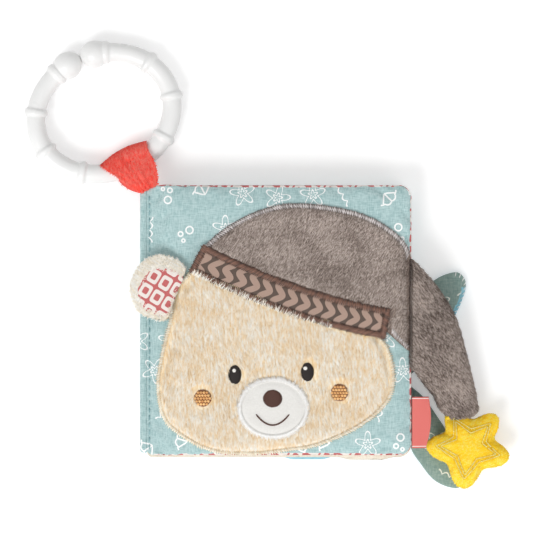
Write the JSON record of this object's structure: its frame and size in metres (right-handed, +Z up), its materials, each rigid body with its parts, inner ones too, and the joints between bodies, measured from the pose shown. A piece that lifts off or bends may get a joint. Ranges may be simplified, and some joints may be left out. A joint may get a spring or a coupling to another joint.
{
  "type": "soft cloth book",
  "caption": "Soft cloth book of padded pages with a bear in a nightcap on its cover, hanging star, ear flap, tail and a hand ring on a loop.",
  "frame": {"origin": "middle of the flat underside of the back cover, where the book rests", "axes": "+Z up through the leaves, +Y towards the top edge of the book, +X from the spine to the fore edge"},
  "size_m": [0.2187, 0.2036, 0.0259],
  "materials": {
    "teal_cotton": "printed cotton",
    "blue_velour": "short velour",
    "cream_cotton": "plain cotton",
    "lattice_cotton": "printed cotton",
    "wadding": "loose polyester wadding",
    "cream_plush": "short plush",
    "white_felt": "felt",
    "dark_thread": "embroidery thread",
    "cheek_thread": "embroidery thread",
    "grey_plush": "short plush",
    "woven_ribbon": "woven ribbon",
    "satin_thread": "satin stitch",
    "yellow_plush": "looped plush",
    "coral_plush": "looped plush",
    "tag_ribbon": "woven satin ribbon",
    "rustling_foil": "thin crinkled film",
    "white_plastic": "smooth moulded plastic"
  },
  "bodies": {
    "back_cover": {"back_cover_cloth": "teal_cotton", "back_cover_padding": "wadding", "back_cover_lining": "lattice_cotton", "spine_binding": "teal_cotton"},
    "page_2": {"page_2_back_cloth": "blue_velour", "page_2_padding": "wadding", "page_2_front_cloth": "blue_velour"},
    "page_1": {"page_1_back_cloth": "cream_cotton", "page_1_padding": "wadding", "page_1_front_cloth": "cream_cotton"},
    "front_cover": {"front_cover_lining": "lattice_cotton", "front_cover_padding": "wadding", "front_cover_cloth": "teal_cotton", "crinkle_foil": "rustling_foil", "bear_head": "cream_plush", "muzzle": "white_felt", "nose": "dark_thread", "mouth_stitch": "dark_thread", "left_eye": "dark_thread", "right_eye": "dark_thread", "left_cheek": "cheek_thread", "right_cheek": "cheek_thread", "hat_crown": "grey_plush", "hat_band": "woven_ribbon", "hat_band_border": "satin_thread"},
    "hat_tip": {"hat_tip_front": "grey_plush", "hat_tip_back": "grey_plush", "hat_tip_stuffing": "wadding"},
    "star": {"star_front": "yellow_plush", "star_back": "yellow_plush", "star_stuffing": "wadding"},
    "ear": {"ear_front": "cream_plush", "ear_inset": "lattice_cotton", "ear_back": "teal_cotton"},
    "tag": {"woven_tag": "tag_ribbon"},
    "tail": {"tail_front_cloth": "teal_cotton", "tail_back_cloth": "blue_velour", "tail_upper_padding": "wadding", "tail_lower_padding": "wadding"},
    "loop": {"ring_loop": "coral_plush"},
    "ring": {"teething_ring": "white_plastic"}
  },
  "joints": [
    {"name": "page_2_turn", "type": "hinge", "parent": "back_cover", "child": "page_2", "pos_m": [-0.05935, 0, 0.01303], "axis": [0, -1, 0], "range_deg": [0, 180]},
    {"name": "page_1_turn", "type": "hinge", "parent": "page_2", "child": "page_1", "pos_m": [-0.05935, 0, 0.01303], "axis": [0, -1, 0], "range_deg": [0, 180]},
    {"name": "front_cover_turn", "type": "hinge", "parent": "page_1", "child": "front_cover", "pos_m": [-0.05935, 0, 0.01303], "axis": [0, -1, 0], "range_deg": [0, 180]},
    {"name": "hat_tip_fold", "type": "hinge", "parent": "front_cover", "child": "hat_tip", "pos_m": [0.06145, 0.004, 0.0218], "axis": [0, 1, 0], "range_deg": [-100, 0]},
    {"name": "star_swing", "type": "hinge", "parent": "hat_tip", "child": "star", "pos_m": [0.08443, -0.04124, 0.0125], "axis": [0.963, 0.2694, 0], "range_deg": [-75, 0]},
    {"name": "ear_fold", "type": "hinge", "parent": "front_cover", "child": "ear", "pos_m": [-0.0485, -0.001, 0.02515], "axis": [-0.3622, -0.9321, 0], "range_deg": [-130, 0]},
    {"name": "tag_fold", "type": "hinge", "parent": "front_cover", "child": "tag", "pos_m": [0.0616, -0.046, 0.01895], "axis": [0, 1, 0], "range_deg": [-90, 0]},
    {"name": "tail_lift", "type": "hinge", "parent": "back_cover", "child": "tail", "pos_m": [0.06145, -0.0276, 0.002], "axis": [0, -1, 0], "range_deg": [0, 5]},
    {"name": "loop_swing", "type": "hinge", "parent": "back_cover", "child": "loop", "pos_m": [-0.05935, 0.0615, 0.01303], "axis": [-0.9062, -0.4229, 0], "range_deg": [-75, 0]},
    {"name": "ring_turn", "type": "hinge", "parent": "loop", "child": "ring", "pos_m": [-0.07795, 0.09385, 0.0065], "axis": [0, 0, 1], "range_deg": [-14, 4]}
  ]
}
